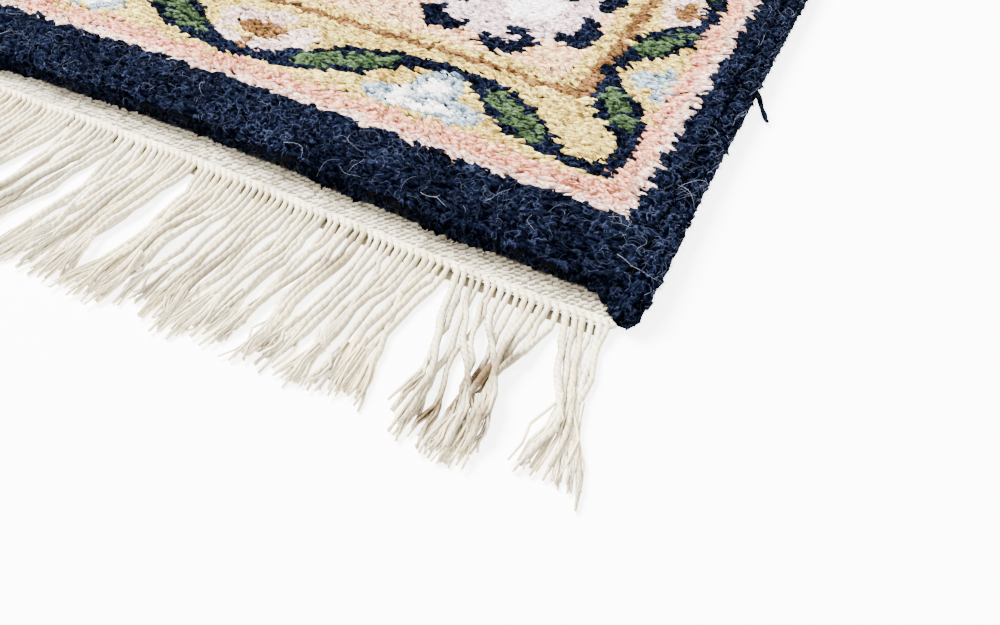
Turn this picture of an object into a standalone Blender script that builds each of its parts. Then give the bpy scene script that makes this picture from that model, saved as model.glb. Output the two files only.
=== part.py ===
# Oriental rug: a small hand-knotted wool rug with woven ends and cotton fringes, laid flat.
# Metres, +Z up, the floor is z = 0. X runs across the rug and Y along it.
import math

import bmesh
import bpy

MM = 0.001

# The whole rug
RUG_WIDTH = 600 * MM
PILE_LENGTH = 900 * MM
GAP = 0.3 * MM

# The knotted panel
PILE_HEIGHT = 11 * MM
SIDE_CELLS = 44
END_CELLS = 60

# The overcast side cords
SELVEDGE_WIDTH = 8 * MM
SELVEDGE_HEIGHT = 9.3 * MM
SELVEDGE_OVERRUN = 8.0 * MM
SELVEDGE_TAPER = 10 * MM
SELVEDGE_STEPS = 48

# The flat woven ends
KILIM_WIDTH = 8.5 * MM
KILIM_THICKNESS = 2 * MM
PILE_OVERHANG = 1.2 * MM

# The twined ridge and its strings
RIDGE_WIDTH = 2.8 * MM
RIDGE_HALF_LENGTH = 294 * MM
STRANDS_PER_END = 150
STRAND_WIDTH = 1.7 * MM
STRAND_HEIGHT = 1.6 * MM
STRAND_TIP_SHARE = 0.7
STRAND_STEPS = 3

PANEL_HALF_WIDTH = RUG_WIDTH / 2 - SELVEDGE_WIDTH
PILE_HALF_LENGTH = PILE_LENGTH / 2

# How the panel's edge rounds off, from the floor up.
# Columns: inset at the sides, inset at the ends, height.
PILE_PROFILE = (
    (0.0 * MM, PILE_OVERHANG, 0.0 * MM),
    (0.0 * MM, PILE_OVERHANG, 2.6 * MM),
    (0.0 * MM, 0.0 * MM, 4.2 * MM),
    (0.0 * MM, 0.0 * MM, 7.6 * MM),
    (0.6 * MM, 1.2 * MM, 9.6 * MM),
    (2.2 * MM, 3.0 * MM, 10.7 * MM),
    (4.5 * MM, 5.5 * MM, PILE_HEIGHT),
)

# The side cord's section. Columns: share of its width from the panel outwards, share of its height.
SELVEDGE_SECTION = (
    (0.00, 0.00),
    (0.82, 0.00),
    (0.95, 0.13),
    (1.00, 0.34),
    (0.95, 0.60),
    (0.77, 0.84),
    (0.48, 0.97),
    (0.18, 1.00),
    (0.00, 0.98),
)

# The ridge's section. Columns: distance back from its front face, height.
RIDGE_SECTION = (
    (0.0 * MM, 0.0 * MM),
    (0.0 * MM, 1.9 * MM),
    (1.0 * MM, 2.8 * MM),
    (2.2 * MM, 2.6 * MM),
    (RIDGE_WIDTH, 0.0 * MM),
)

# The locks that the strings fall into, from the corner inwards, and then over again.
# Columns: strings, drift of the tips towards the corner, share of the root spacing at the tips, length.
FRINGE_LOCKS = (
    (3, 6.0 * MM, 0.70, 51 * MM),
    (8, 3.5 * MM, 0.66, 53 * MM),
    (3, -1.5 * MM, 0.80, 56 * MM),
    (6, -1.0 * MM, 0.72, 59 * MM),
    (4, 1.0 * MM, 0.68, 58 * MM),
    (7, 0.5 * MM, 0.74, 60 * MM),
    (5, -1.0 * MM, 0.66, 57 * MM),
    (4, 1.5 * MM, 0.76, 58 * MM),
)
LENGTH_SWING = 1.6 * MM
BOW = 1.1 * MM


def clear_scene():
    """Remove whatever the file holds."""
    for old in list(bpy.data.objects):
        bpy.data.objects.remove(old, do_unlink=True)


def cloth_material(name, colour, roughness):
    """A plain matt yarn colour."""
    material = bpy.data.materials.new(name)
    material.use_nodes = True
    shader = material.node_tree.nodes["Principled BSDF"]
    shader.inputs["Base Color"].default_value = (*colour, 1.0)
    shader.inputs["Roughness"].default_value = roughness
    shader.inputs["Metallic"].default_value = 0.0
    return material


def add_object(name, mesh_builder, material):
    """Turn a bmesh into one named object with outward faces."""
    bmesh.ops.recalc_face_normals(mesh_builder, faces=mesh_builder.faces)
    mesh = bpy.data.meshes.new(name)
    mesh_builder.to_mesh(mesh)
    mesh_builder.free()
    mesh.materials.append(material)
    made = bpy.data.objects.new(name, mesh)
    bpy.context.scene.collection.objects.link(made)
    return made


def loft(rings):
    """A closed solid through rings of equally many points, capped at both ends."""
    solid = bmesh.new()
    rows = [[solid.verts.new(point) for point in ring] for ring in rings]
    count = len(rows[0])
    for lower, upper in zip(rows, rows[1:]):
        for here in range(count):
            after = (here + 1) % count
            solid.faces.new((lower[here], lower[after], upper[after], upper[here]))
    solid.faces.new(list(reversed(rows[0])))
    solid.faces.new(rows[-1])
    return solid


def end_wave(x):
    """How far the pile's end edge strays inwards at x: a slow swing and a small quick one."""
    inward = RUG_WIDTH / 2 - abs(x)
    slow = 1.9 * math.cos(2 * math.pi * (inward - 165 * MM) / (240 * MM))
    quick = 0.35 * math.sin(2 * math.pi * inward / (37 * MM))
    return (1.2 + slow + quick) * MM


def side_wave(y):
    """How far the long sides stray outwards at y."""
    return (0.45 * math.sin(2 * math.pi * y / (310 * MM)) + 0.25 * math.sin(2 * math.pi * y / (91 * MM))) * MM


def panel_outline(side_inset, end_inset, height):
    """The panel's outline at one height, anticlockwise from its south-west corner."""
    half_x = PANEL_HALF_WIDTH
    half_y = PILE_HALF_LENGTH
    corners = []
    for step in range(END_CELLS):
        corners.append((-half_x + 2 * half_x * step / END_CELLS, -half_y))
    for step in range(SIDE_CELLS):
        corners.append((half_x, -half_y + 2 * half_y * step / SIDE_CELLS))
    for step in range(END_CELLS):
        corners.append((half_x - 2 * half_x * step / END_CELLS, half_y))
    for step in range(SIDE_CELLS):
        corners.append((-half_x, half_y - 2 * half_y * step / SIDE_CELLS))
    outline = []
    for x, y in corners:
        out_x = x * (half_x - side_inset + side_wave(y)) / half_x
        out_y = y * (half_y - end_inset - end_wave(x)) / half_y
        outline.append((out_x, out_y, height))
    return outline


def build_pile_panel(material):
    """The knotted wool panel: one thick flat slab with rounded, slightly uneven edges."""
    rings = [panel_outline(*row) for row in PILE_PROFILE]
    return add_object("pile_panel", loft(rings), material)


def base_edge(x):
    """Distance of the panel's foot from the rug's middle at x."""
    return PILE_HALF_LENGTH - PILE_OVERHANG - end_wave(x)


def ridge_back(x):
    """Distance of the ridge's back foot from the rug's middle at x; it follows the pile's edge in part."""
    return PILE_HALF_LENGTH + KILIM_WIDTH - 0.6 * end_wave(x)


def build_kilim(name, end, material):
    """The flat woven band between the pile and the ridge, at the end of sign `end`."""
    rings = []
    for step in range(END_CELLS + 1):
        x = PANEL_HALF_WIDTH * (2 * step / END_CELLS - 1)
        inner = end * (base_edge(x) + GAP)
        outer = end * (ridge_back(x) - GAP)
        side_x = x * (1 + side_wave(end * PILE_HALF_LENGTH) / PANEL_HALF_WIDTH)
        rings.append([
            (side_x, inner, 0.0),
            (side_x, outer, 0.0),
            (side_x, outer, KILIM_THICKNESS),
            (side_x, inner, KILIM_THICKNESS),
        ])
    return add_object(name, loft(rings), material)


def build_selvedge(name, side, material):
    """The navy cord overcast along one long side, running on beside the kilim and tapering there."""
    half = PILE_HALF_LENGTH + SELVEDGE_OVERRUN
    rings = []
    for step in range(SELVEDGE_STEPS + 1):
        # The sine spacing puts more sections where the ends taper.
        y = half * math.sin(math.pi / 2 * (2 * step / SELVEDGE_STEPS - 1))
        from_end = min((half - abs(y)) / SELVEDGE_TAPER, 1.0)
        fullness = math.sqrt(1 - (1 - from_end) ** 2)
        width = SELVEDGE_WIDTH * (0.72 + 0.28 * fullness) - GAP
        height = SELVEDGE_HEIGHT * (0.42 + 0.58 * fullness)
        inner = PANEL_HALF_WIDTH + GAP + side_wave(y)
        rings.append([(side * (inner + out * width), y, up * height) for out, up in SELVEDGE_SECTION])
    return add_object(name, loft(rings), material)


def lock_rows(first_lock):
    """Root x, tip x and length of every string of one end, from the east corner to the west."""
    pitch = 2 * RIDGE_HALF_LENGTH / STRANDS_PER_END
    rows = []
    lock = first_lock
    while len(rows) < STRANDS_PER_END:
        strings, drift, tightness, length = FRINGE_LOCKS[lock % len(FRINGE_LOCKS)]
        strings = min(strings, STRANDS_PER_END - len(rows))
        middle = RIDGE_HALF_LENGTH - pitch * (len(rows) + strings / 2)
        for index in range(strings):
            root = RIDGE_HALF_LENGTH - pitch * (len(rows) + 0.5)
            tip = middle + drift + (root - middle) * tightness
            swing = LENGTH_SWING * math.sin(2.4 * len(rows))
            rows.append((root, tip, length + swing))
        lock += 1
    return rows


def strand_ring(x, y, share):
    """The three corners of a string's section: two on the floor and one above."""
    half = STRAND_WIDTH * share / 2
    return ((x - half, y, 0.0), (x + half, y, 0.0), (x, y, STRAND_HEIGHT * share))


def build_fringe(name, end, first_lock, material):
    """The twined ridge with its strings, each growing out of a triangle in the ridge's front face."""
    solid = bmesh.new()
    pitch = 2 * RIDGE_HALF_LENGTH / STRANDS_PER_END
    sections = []
    for cell in range(STRANDS_PER_END + 1):
        x = RIDGE_HALF_LENGTH - pitch * cell
        front = ridge_back(x) + RIDGE_WIDTH
        sections.append([solid.verts.new((x, end * (front - back), up)) for back, up in RIDGE_SECTION])
    count = len(RIDGE_SECTION)
    for here, after in zip(sections, sections[1:]):
        for index in range(1, count - 1):
            solid.faces.new((here[index], here[index + 1], after[index + 1], after[index]))
    solid.faces.new(sections[0])
    solid.faces.new(list(reversed(sections[-1])))
    for (root, tip, length), here, after in zip(lock_rows(first_lock), sections, sections[1:]):
        front = (here[0].co.y + after[0].co.y) / 2
        foot = [solid.verts.new(point) for point in strand_ring(root, front, 1.0)]
        left, right, top = foot
        # What is left of the ridge's front face around the string's root
        solid.faces.new((here[0], here[1], top, right))
        solid.faces.new((here[1], after[1], top))
        solid.faces.new((after[1], after[0], left, top))
        # The ridge's underside keeps the string's two floor corners on its front edge.
        solid.faces.new((here[-1], here[0], right, left, after[0], after[-1]))
        ring = foot
        for step in range(1, STRAND_STEPS + 1):
            along = step / STRAND_STEPS
            bow = BOW * math.sin(math.pi * along) * (1 if tip > root else -1)
            x = root + (tip - root) * along - bow
            y = front + end * length * along
            share = 1.0 - (1.0 - STRAND_TIP_SHARE) * along
            onward = [solid.verts.new(point) for point in strand_ring(x, y, share)]
            for index in range(3):
                follow = (index + 1) % 3
                solid.faces.new((ring[index], ring[follow], onward[follow], onward[index]))
            ring = onward
        solid.faces.new(ring)
    return add_object(name, solid, material)


def build_rug():
    """All the rug's pieces, each its own object."""
    clear_scene()
    pile_wool = cloth_material("pile_wool", (0.78, 0.58, 0.42), 0.95)
    edge_wool = cloth_material("edge_wool", (0.012, 0.017, 0.040), 0.95)
    cotton_weave = cloth_material("cotton_weave", (0.76, 0.70, 0.60), 0.9)
    cotton_string = cloth_material("cotton_string", (0.80, 0.75, 0.66), 0.9)
    build_pile_panel(pile_wool)
    build_kilim("kilim_south", -1, cotton_weave)
    build_kilim("kilim_north", 1, cotton_weave)
    build_selvedge("selvedge_east", 1, edge_wool)
    build_selvedge("selvedge_west", -1, edge_wool)
    build_fringe("fringe_south", -1, 0, cotton_string)
    build_fringe("fringe_north", 1, 3, cotton_string)


build_rug()
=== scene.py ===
import math

import bpy
import numpy as np
from mathutils import Matrix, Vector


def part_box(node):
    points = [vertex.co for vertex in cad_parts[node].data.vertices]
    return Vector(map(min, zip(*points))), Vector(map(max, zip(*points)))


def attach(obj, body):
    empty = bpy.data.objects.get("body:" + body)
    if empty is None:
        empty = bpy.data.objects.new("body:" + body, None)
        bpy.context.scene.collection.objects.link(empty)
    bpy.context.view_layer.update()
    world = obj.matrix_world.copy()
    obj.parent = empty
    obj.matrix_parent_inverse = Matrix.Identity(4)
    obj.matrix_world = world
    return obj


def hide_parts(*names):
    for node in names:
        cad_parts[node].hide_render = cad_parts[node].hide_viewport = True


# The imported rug, loaded as a fixed frame; +X, -Y is the corner that the camera looks at
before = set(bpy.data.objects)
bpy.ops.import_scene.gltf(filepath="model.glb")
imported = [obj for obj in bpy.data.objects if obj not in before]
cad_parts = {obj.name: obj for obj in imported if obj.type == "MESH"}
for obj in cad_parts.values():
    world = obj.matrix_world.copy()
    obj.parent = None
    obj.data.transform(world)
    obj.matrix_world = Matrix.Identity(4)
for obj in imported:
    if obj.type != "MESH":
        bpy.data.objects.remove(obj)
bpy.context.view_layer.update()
mm = 0.001

# Places shared by all pieces, in metres from the rug's middle
rugPlan = {
    "halfRug": 0.300,
    "panelHalfX": 0.292,
    "pileHalfY": 0.450,
    "pileTop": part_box("pile_panel")[1][2],
    "kilimWidth": 8.5 * mm,
    "kilimTop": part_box("kilim_south")[1][2],
    "ridgeWidth": 2.8 * mm,
    "ridgeHalfX": 0.294,
}


# Arrays and waves

# How far the pile's end edge strays inwards at x: a slow swing and a small quick one
def endWave(x):
    inward = rugPlan["halfRug"] - np.abs(x)
    slow = 1.9 * np.cos(2 * np.pi * (inward - 0.165) / 0.240)
    quick = 0.35 * np.sin(2 * np.pi * inward / 0.037)
    return (1.2 + slow + quick) * mm


# How far the long sides stray outwards at y: two sines
def sideWave(y):
    return (0.45 * np.sin(2 * np.pi * y / 0.310) + 0.25 * np.sin(2 * np.pi * y / 0.091)) * mm


# Distance of the ridge's back foot from the rug's middle: the pile's edge wave, in part
def ridgeBack(x):
    return rugPlan["pileHalfY"] + rugPlan["kilimWidth"] - 0.6 * endWave(x)


# Rises smoothly from 0 at low to 1 at high
def smoothRise(value, low, high):
    t = np.clip((value - low) / (high - low), 0, 1)
    return t * t * (3 - 2 * t)


# Length-one copies of rows of vectors
def unit(vectors):
    return vectors / np.maximum(np.linalg.norm(vectors, axis=-1, keepdims=True), 1e-12)


# Square cells of a unit map, one for each of count things: their low corners and their side
def mapCells(count):
    across = math.ceil(math.sqrt(count))
    index = np.arange(count)
    return np.stack([index % across, index // across], -1) / across, 1 / across


# Meshes

# Puts whole arrays into one mesh; corner arrays give each face corner its place on a map
def meshPiece(name, points, faces, material, maps=None, values=None, smooth=True):
    mesh = bpy.data.meshes.new(name)
    mesh.vertices.add(len(points))
    mesh.vertices.foreach_set("co", np.ascontiguousarray(points, dtype=np.float32).ravel())
    corners = np.concatenate([part.ravel() for part in faces])
    sizes = np.concatenate([np.full(len(part), part.shape[1]) for part in faces])
    mesh.loops.add(len(corners))
    mesh.loops.foreach_set("vertex_index", corners.astype(np.int32))
    mesh.polygons.add(len(sizes))
    mesh.polygons.foreach_set("loop_start", np.concatenate([[0], np.cumsum(sizes)[:-1]]).astype(np.int32))
    mesh.polygons.foreach_set("use_smooth", np.full(len(sizes), smooth))
    for mapName, places in (maps or {}).items():
        layer = mesh.uv_layers.new(name=mapName)
        layer.uv.foreach_set("vector", np.ascontiguousarray(places, dtype=np.float32).ravel())
    for valueName, numbers in (values or {}).items():
        layer = mesh.attributes.new(valueName, "FLOAT", "POINT")
        layer.data.foreach_set("value", np.ascontiguousarray(numbers, dtype=np.float32).ravel())
    mesh.update(calc_edges=True)
    mesh.validate()
    mesh.materials.append(material)
    piece = bpy.data.objects.new(name, mesh)
    bpy.context.scene.collection.objects.link(piece)
    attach(piece, "root")
    return piece


# Many small lobes in one mesh: four base corners and a crest of one point, or of two with the front one
# higher. Along its lie each is length long, across it width wide, and the crest leads by the lean, a share
# of the length.
def lobePiece(name, centres, lie, outward, sizes, tones, rng, material,
              crest=0.20, lean=0.20, rough=0.10):
    count = len(centres)
    length, width, height = (sizes[:, [k]] for k in range(3))
    lie = unit(lie - outward * (lie * outward).sum(-1, keepdims=True))
    across = np.cross(outward, lie)
    foot = [[-0.5, -0.5], [0.5, -0.5], [0.5, 0.5], [-0.5, 0.5]]
    footNet = [[0.04, 0.04], [0.96, 0.04], [0.96, 0.96], [0.04, 0.96]]
    if crest:
        corner = np.array([*foot, [lean - crest - 0.08, 0], [lean + crest, 0]])
        rise = np.array([0.0, 0.0, 0.0, 0.0, 0.72, 1.0])
        faceSets = [np.array([[0, 1, 5, 4], [2, 3, 4, 5]]), np.array([[1, 2, 5], [3, 0, 4]])]
        net = np.array([*footNet, [0.30, 0.50], [0.70, 0.50]])
    else:
        corner = np.array([*foot, [lean, 0.0]])
        rise = np.array([0.0, 0.0, 0.0, 0.0, 1.0])
        faceSets = [np.array([[0, 1, 4], [1, 2, 4], [2, 3, 4], [3, 0, 4]])]
        net = np.array([*footNet, [0.50, 0.50]])
    each = len(rise)
    along = (corner[:, 0] + rng.normal(0, rough, (count, each))) * length
    side = (corner[:, 1] + rng.normal(0, rough, (count, each))) * width
    lift = (rise - 1 + rng.normal(0, rough, (count, each)) * (rise > 0)) * height
    points = (centres[:, None, :] + lie[:, None, :] * along[..., None]
              + across[:, None, :] * side[..., None] + outward[:, None, :] * lift[..., None])
    points[..., 2] = np.maximum(points[..., 2], 0.1 * mm)    # nothing dips under the floor
    base = (np.arange(count) * each)[:, None, None]
    faces = [(base + part).reshape(-1, part.shape[1]) for part in faceSets]
    # On the map each lobe is opened flat in a cell of its own
    cells, cell = mapCells(count)
    spots = cells[:, None, :] + net * cell
    places = np.concatenate([spots[:, part].reshape(-1, 2) for part in faceSets])
    turn = np.arctan2(lie[:, 1], lie[:, 0])
    values = {"tone": np.repeat(tones, each), "tip": np.tile(rise, count), "turn": np.repeat(turn, each)}
    return meshPiece(name, points.reshape(-1, 3), faces, material, {"OFBake": places}, values)


# The quads between rings of equally many points, each from its own point to the next
def ringQuads(steps, sides):
    ring = (np.arange(steps - 1) * sides)[:, None]
    here = np.arange(sides)[None, :]
    after = (here + 1) % sides
    corners = [ring + here, ring + after, ring + sides + after, ring + sides + here]
    return np.stack(corners, -1).reshape(-1, 4)


# Many tubes in one mesh: rings carried along each path, closed at both ends. A ring is a circle of the
# path's radius at that step, its height multiplied by flatten.
def tubePiece(name, paths, radii, material, sides=6, flatten=1.0, tones=None, extra=None):
    count, steps = paths.shape[:2]
    tangents = unit(np.gradient(paths, axis=1))
    reference = np.where(np.abs(tangents[..., 2:3]) > 0.9, [[[1.0, 0.0, 0.0]]], [[[0.0, 0.0, 1.0]]])
    across = unit(np.cross(tangents, reference))
    upward = np.cross(across, tangents)
    gone = np.linalg.norm(np.diff(paths, axis=1), axis=-1)
    run = np.concatenate([np.zeros((count, 1)), np.cumsum(gone, 1)], 1)
    angle = np.arange(sides) * 2 * np.pi / sides
    reach = radii[..., None]
    points = (paths[:, :, None, :] + across[:, :, None, :] * (np.cos(angle) * reach)[..., None]
              + upward[:, :, None, :] * (np.sin(angle) * reach * flatten)[..., None])
    each = steps * sides
    quads = ringQuads(steps, sides)
    last = (steps - 1) * sides
    caps = np.stack([np.arange(sides)[::-1], last + np.arange(sides)])
    base = (np.arange(count) * each)[:, None, None]
    faces = [(base + quads[:, ::-1]).reshape(-1, 4), (base + caps[:, ::-1]).reshape(-1, sides)]
    # Each tube is a strip on the map, its two ends small squares beside it
    cells, side = mapCells(count)
    stepShare = np.linspace(0.04, 0.86, steps)
    turnShare = np.linspace(0.04, 0.96, sides + 1)
    low = np.stack(np.meshgrid(stepShare[:-1], turnShare[:-1], indexing="ij"), -1)
    high = np.stack(np.meshgrid(stepShare[1:], turnShare[1:], indexing="ij"), -1)
    lowHigh = np.stack([low[..., 0], high[..., 1]], -1)
    highLow = np.stack([high[..., 0], low[..., 1]], -1)
    strip = np.stack([low, lowHigh, high, highLow], 2).reshape(-1, 4, 2)[:, ::-1]
    capRing = np.stack([np.cos(angle), np.sin(angle)], -1) * 0.04
    capSpots = np.stack([(capRing + [0.93, 0.25])[::-1], capRing + [0.93, 0.75]])[:, ::-1]
    places = np.concatenate([
        (cells[:, None, None, :] + strip[None] * side).reshape(-1, 2),
        (cells[:, None, None, :] + capSpots[None] * side).reshape(-1, 2),
    ])
    # The strand map holds the turn round the tube and the run along it in millimetres
    lowRun = np.repeat(run[:, :-1, None], sides, 2) / mm
    highRun = np.repeat(run[:, 1:, None], sides, 2) / mm
    lowTurn = np.broadcast_to(np.arange(sides) / sides, lowRun.shape)
    highTurn = lowTurn + 1 / sides
    net = ((lowTurn, lowRun), (highTurn, lowRun), (highTurn, highRun), (lowTurn, highRun))
    strand = np.stack([np.stack(spot, -1) for spot in net], 3).reshape(-1, 4, 2)[:, ::-1].reshape(-1, 2)
    strand = np.concatenate([strand, np.zeros((count * 2 * sides, 2))])
    values = {"tone": np.repeat(np.zeros(count) if tones is None else tones, each)}
    for valueName, numbers in (extra or {}).items():
        values[valueName] = np.repeat(numbers.reshape(-1), sides)
    return meshPiece(name, points.reshape(-1, 3), faces, material,
                     {"OFBake": places, "strand": strand}, values)


# A closed solid through rows of equally many points, capped at both ends, as one piece
def loftPiece(name, rings, material, smooth=True):
    steps, sides = rings.shape[:2]
    first = np.arange(sides)[::-1][None, :]
    last = (steps - 1) * sides + np.arange(sides)[None, :]
    faces = [ringQuads(steps, sides), first, last]
    return meshPiece(name, rings.reshape(-1, 3), faces, material, smooth=smooth)


# Materials

# Makes one node, sets its values and links what is given to its inputs
def node(tree, kind, values=None, links=None, **settings):
    made = tree.nodes.new(kind)
    for key, value in settings.items():
        setattr(made, key, value)
    for key, value in (values or {}).items():
        made.inputs[key].default_value = value
    for key, socket in (links or {}).items():
        tree.links.new(socket, made.inputs[key])
    return made


def startMaterial(name):
    material = bpy.data.materials.new(name)
    material.use_nodes = True
    tree = material.node_tree
    return material, tree, tree.nodes["Principled BSDF"]


# sRGB numbers out of 255, as a linear colour
def dye(red, green, blue):
    share = np.array([red, green, blue]) / 255
    linear = np.where(share <= 0.04045, share / 12.92, ((share + 0.055) / 1.055) ** 2.4)
    return (*linear.tolist(), 1.0)


# Noise on Object coordinates, stretched by the three numbers of grain (features per metre)
def grainNoise(tree, grain, detail=2.0, rough=0.6):
    place = node(tree, "ShaderNodeTexCoord").outputs["Object"]
    mapped = node(tree, "ShaderNodeMapping", {"Scale": grain}, {"Vector": place})
    return node(tree, "ShaderNodeTexNoise", {"Scale": 1.0, "Detail": detail, "Roughness": rough},
                {"Vector": mapped.outputs["Vector"]}).outputs["Fac"]


# The first colour, with a share of the second
def mixColour(tree, share, first, second):
    mix = node(tree, "ShaderNodeMix", data_type="RGBA")
    for index, source in ((6, first), (7, second)):
        if isinstance(source, tuple):
            mix.inputs[index].default_value = source
        else:
            tree.links.new(source, mix.inputs[index])
    if isinstance(share, float):
        mix.inputs[0].default_value = share
    else:
        tree.links.new(share, mix.inputs[0])
    return mix.outputs[2]


# One calculation with two numbers or sockets
def math2(tree, operation, first, second, clamp=False):
    made = node(tree, "ShaderNodeMath", operation=operation, use_clamp=clamp)
    for index, source in ((0, first), (1, second)):
        if isinstance(source, (int, float)):
            made.inputs[index].default_value = source
        else:
            tree.links.new(source, made.inputs[index])
    return made.outputs[0]


# A value's place between low and high, as a number between the two of to
def spread(tree, value, low, high, to=(0.0, 1.0)):
    ends = {"From Min": low, "From Max": high, "To Min": to[0], "To Max": to[1]}
    return node(tree, "ShaderNodeMapRange", ends, {"Value": value}).outputs["Result"]


# How far a value is from a middle one, either way
def distanceFrom(tree, value, middle):
    return math2(tree, "ABSOLUTE", math2(tree, "SUBTRACT", value, middle), 0.0)


def matte(shader, roughness, specular):
    shader.inputs["Roughness"].default_value = roughness
    shader.inputs["Specular IOR Level"].default_value = specular


# The mesh's own number under that name
def ownValue(tree, name, output="Fac"):
    return node(tree, "ShaderNodeAttribute", attribute_name=name).outputs[output]


woolLook = {
    "strokes": (400.0, 1050.0, 500.0),  # cut ends per metre along the yarn, across it and upwards
    "fibre": (380.0, 2600.0, 1700.0),   # fibres per metre, the same way
    "cloud": (60.0, 60.0, 60.0),        # slow dye changes per metre
    "curl": (270.0, 270.0, 270.0),
    "bump": 0.9,
    "bumpDepth": 0.78 * mm,
    "roughness": 0.95,
}


# Object coordinates turned back by the yarn's own heading, then stretched along it, across it and upwards
def yarnPlace(tree, grain):
    place = node(tree, "ShaderNodeTexCoord").outputs["Object"]
    back = math2(tree, "MULTIPLY", ownValue(tree, "turn"), -1.0)
    turned = node(tree, "ShaderNodeVectorRotate", links={"Vector": place, "Angle": back},
                  rotation_type="Z_AXIS")
    stretched = node(tree, "ShaderNodeMapping", {"Scale": grain}, {"Vector": turned.outputs["Vector"]})
    return stretched.outputs["Vector"]


# Cut wool: long cells, each a yarn's end with its own tone and a dome in the bump, with painted shade in
# the deep tone between them, at their feet and in the fibres' hollows, and the light tone along fine fibre
# lines, partly lighter fibres and partly painted highlight. Over it all runs a fuzz of fine curled fibres,
# along the lines where a slow noise has its middle value.
def woolMaterial(name, deep, middle, light, fuzz):
    material, tree, shader = startMaterial(name)
    tone, tip = ownValue(tree, "tone"), ownValue(tree, "tip")
    strokes, fine = (yarnPlace(tree, woolLook[key]) for key in ("strokes", "fibre"))
    ends = node(tree, "ShaderNodeTexVoronoi", {"Scale": 1.0}, {"Vector": strokes})
    curls = {"Scale": 1.0, "Detail": 3.0, "Roughness": 0.6, "Distortion": 0.6}
    fibre = node(tree, "ShaderNodeTexNoise", curls, {"Vector": fine}).outputs["Fac"]
    ownEnd = node(tree, "ShaderNodeSeparateColor", links={"Color": ends.outputs["Color"]}).outputs["Red"]
    cloud = grainNoise(tree, woolLook["cloud"])
    own = math2(tree, "ADD", math2(tree, "MULTIPLY", tone, 0.5), math2(tree, "MULTIPLY", ownEnd, 0.5))
    own = math2(tree, "ADD", own, spread(tree, cloud, 0.32, 0.68, (-0.28, 0.28)))
    colour = mixColour(tree, spread(tree, own, 0.1, 0.9, (0.0, 0.75)), middle, light)
    # Along fine fibre lines the colour goes to the light tone: partly lighter fibres, partly painted
    # highlight
    offMiddle = distanceFrom(tree, fibre, 0.52)
    colour = mixColour(tree, spread(tree, offMiddle, 0.0, 0.05, (0.7, 0.0)), colour, light)
    # Painted shade: the deep tone at the lobes' feet, between the yarn ends and in the hollows between fibres
    foot = spread(tree, tip, 0.05, 0.75, (0.9, 0.0))
    between = spread(tree, ends.outputs["Distance"], 0.38, 0.74, (0.0, 0.95))
    hollow = spread(tree, fibre, 0.32, 0.50, (0.7, 0.0))
    paintedShade = math2(tree, "MAXIMUM", math2(tree, "MAXIMUM", foot, between), hollow)
    colour = mixColour(tree, paintedShade, colour, deep)
    curl = grainNoise(tree, woolLook["curl"], detail=1.5)
    line = spread(tree, distanceFrom(tree, curl, 0.5), 0.0, 0.026, (0.5, 0.0))
    line = math2(tree, "MULTIPLY", line, spread(tree, cloud, 0.35, 0.6, (0.3, 1.0)))
    colour = mixColour(tree, line, colour, fuzz)
    tree.links.new(colour, shader.inputs["Base Color"])
    height = math2(tree, "SUBTRACT", math2(tree, "MULTIPLY", fibre, 0.45), ends.outputs["Distance"])
    bump = node(tree, "ShaderNodeBump", {"Strength": woolLook["bump"], "Distance": woolLook["bumpDepth"]},
                {"Height": height})
    tree.links.new(bump.outputs["Normal"], shader.inputs["Normal"])
    matte(shader, woolLook["roughness"], 0.0)
    return material


# Each yarn's tones: deep for painted shade, usual, and light, which is also painted highlight along fibre
# lines
yarnTones = {
    "navy": ((0, 0, 1), (2, 3, 7), (24, 30, 49)),
    "pink": ((112, 52, 36), (226, 142, 108), (255, 199, 168)),
    "shell": ((128, 90, 76), (220, 174, 152), (255, 230, 214)),
    "yellow": ((102, 74, 24), (206, 171, 78), (255, 238, 148)),
    "peach": ((138, 90, 58), (240, 190, 138), (255, 228, 186)),
    "brown": ((42, 24, 10), (98, 66, 36), (164, 120, 76)),
    "green": ((6, 14, 6), (40, 56, 34), (94, 116, 80)),
    "blue": ((52, 66, 78), (124, 144, 158), (206, 222, 230)),
    "white": ((212, 200, 196), (254, 249, 246), (255, 255, 255)),
    "lilac": ((124, 98, 102), (228, 197, 199), (252, 229, 229)),
    "blush": ((126, 88, 76), (234, 200, 188), (255, 242, 234)),
}
yarns = list(yarnTones)
navyFuzz = dye(60, 68, 94)
wools = {}
for yarn, tones in yarnTones.items():
    deep, middle, light = [dye(*tone) for tone in tones]
    wools[yarn] = woolMaterial(f"wool_{yarn}", deep, middle, light, navyFuzz if yarn == "navy" else light)
print("yarns dyed:", len(wools))


# The design, charted in millimetres: u is the way in from a long side, v the way in from an end

borderPlan = {
    # where each stripe ends: at an end, at a side, and its yarn
    "stripes": (
        (25.0, 16.0, "navy"),
        (28.6, 19.6, "shell"),
        (37.6, 27.2, "pink"),
        (75.6, 50.6, "yellow"),
        (79.6, 56.0, "brown"),
        (84.5, 62.0, "yellow"),
    ),
    # turning points of the end's vine: u, v; every other one has a blue fan under it, the rest a bloom
    "endTurns": ((300.0, 41.0), (250.0, 68.0), (175.0, 41.0), (98.0, 68.0), (38.0, 41.0)),
    "corner": ((38.0, 41.0), (31.0, 42.0), (28.5, 46.0), (28.5, 55.0)),
    "sideTurns": (
        (28.5, 55.0), (49.0, 97.0), (28.5, 152.0), (49.0, 211.6), (28.5, 271.2),
        (49.0, 330.8), (28.5, 390.4), (49.0, 450.0),
    ),
    "vineHalf": 2.7,
    "leafHalf": 8.4,
    "leafCore": 4.4,
}


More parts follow.
